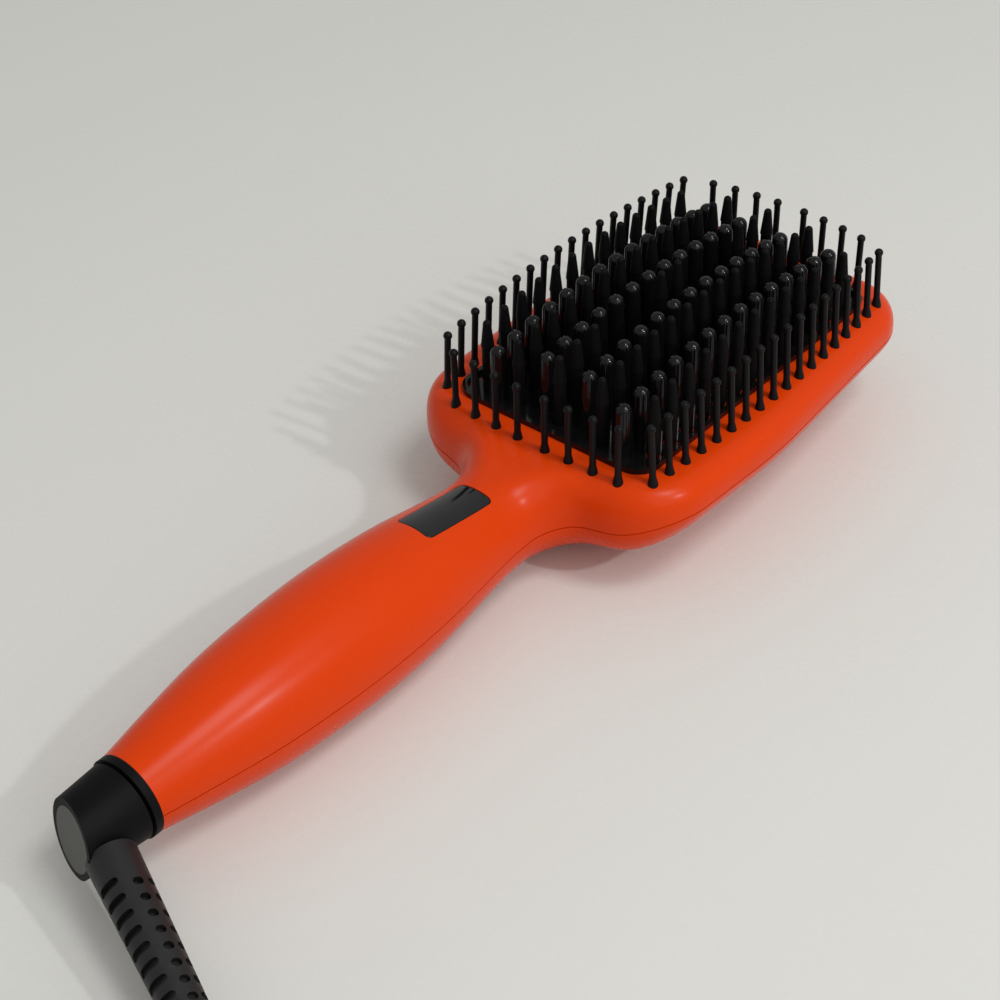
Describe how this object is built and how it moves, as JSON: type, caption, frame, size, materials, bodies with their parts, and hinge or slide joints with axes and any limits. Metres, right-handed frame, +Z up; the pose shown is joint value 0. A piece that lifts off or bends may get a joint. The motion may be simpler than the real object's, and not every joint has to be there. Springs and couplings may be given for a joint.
{
  "type": "heated styling brush",
  "caption": "Paddle-shaped heated styling brush with a toothed heating plate, a rounded handle with a display window, and a mains lead on a swivel.",
  "frame": {"origin": "on the floor under the middle of the brush as it lies on its back, without its lead", "axes": "+X along the handle towards the head, +Z up, out of the toothed deck, +Y to the left of the head"},
  "size_m": [0.3842, 0.1589, 0.0551],
  "materials": {
    "orange_shell": "satin",
    "black_plastic": "matte",
    "grey_plastic": "matte",
    "gloss_black": "gloss",
    "display_window": "gloss",
    "coated_metal": "gloss",
    "bare_steel": "satin",
    "plated_contact": "gloss",
    "contact_brass": "satin",
    "heater_ceramic": "matte",
    "insulation": "matte",
    "circuit_board": "satin",
    "cord_rubber": "matte",
    "wire_cover": "satin"
  },
  "bodies": {
    "handle": {"top_shell": "orange_shell", "bottom_shell": "orange_shell", "shell_screws": "bare_steel", "plate_rim": "gloss_black", "heating_plate": "coated_metal", "guard_pins": "black_plastic", "thin_pin_frame": "black_plastic", "heater_bars": "heater_ceramic", "heater_clamp": "bare_steel", "clamp_screws": "bare_steel", "heat_shield": "insulation", "thermal_fuse": "plated_contact", "temperature_sensor": "heater_ceramic", "heater_wires": "wire_cover", "control_board": "circuit_board", "board_parts": "black_plastic", "display_module": "grey_plastic", "display_lens": "display_window", "press_switches": "black_plastic", "swivel_bush": "black_plastic", "collar_ring": "black_plastic", "contact_block": "black_plastic", "contact_leaves": "contact_brass", "supply_wires": "wire_cover"},
    "swivel": {"swivel_cap": "black_plastic", "cap_disc": "grey_plastic", "retaining_clip": "bare_steel", "contact_rings": "contact_brass", "strain_relief": "cord_rubber", "power_cord": "cord_rubber", "cord_coil": "cord_rubber", "coil_tie": "black_plastic", "cord_tail": "cord_rubber", "plug_body": "black_plastic", "plug_blades": "plated_contact"},
    "power_button": {"power_button": "grey_plastic"},
    "plus_button": {"plus_button": "grey_plastic"},
    "minus_button": {"minus_button": "grey_plastic"}
  },
  "joints": [
    {"name": "cord_swivel", "type": "hinge", "parent": "handle", "child": "swivel", "pos_m": [-0.118, 0, 0.017], "axis": [1, 0, 0], "continuous": true},
    {"name": "power_press", "type": "slide", "parent": "handle", "child": "power_button", "axis": [0, 0, 1], "range_m": [0, 0.0006], "stiffness_N_per_m": 2500},
    {"name": "plus_press", "type": "slide", "parent": "handle", "child": "plus_button", "axis": [0, 0, 1], "range_m": [0, 0.0006], "stiffness_N_per_m": 2500},
    {"name": "minus_press", "type": "slide", "parent": "handle", "child": "minus_button", "axis": [0, 0, 1], "range_m": [0, 0.0006], "stiffness_N_per_m": 2500}
  ]
}
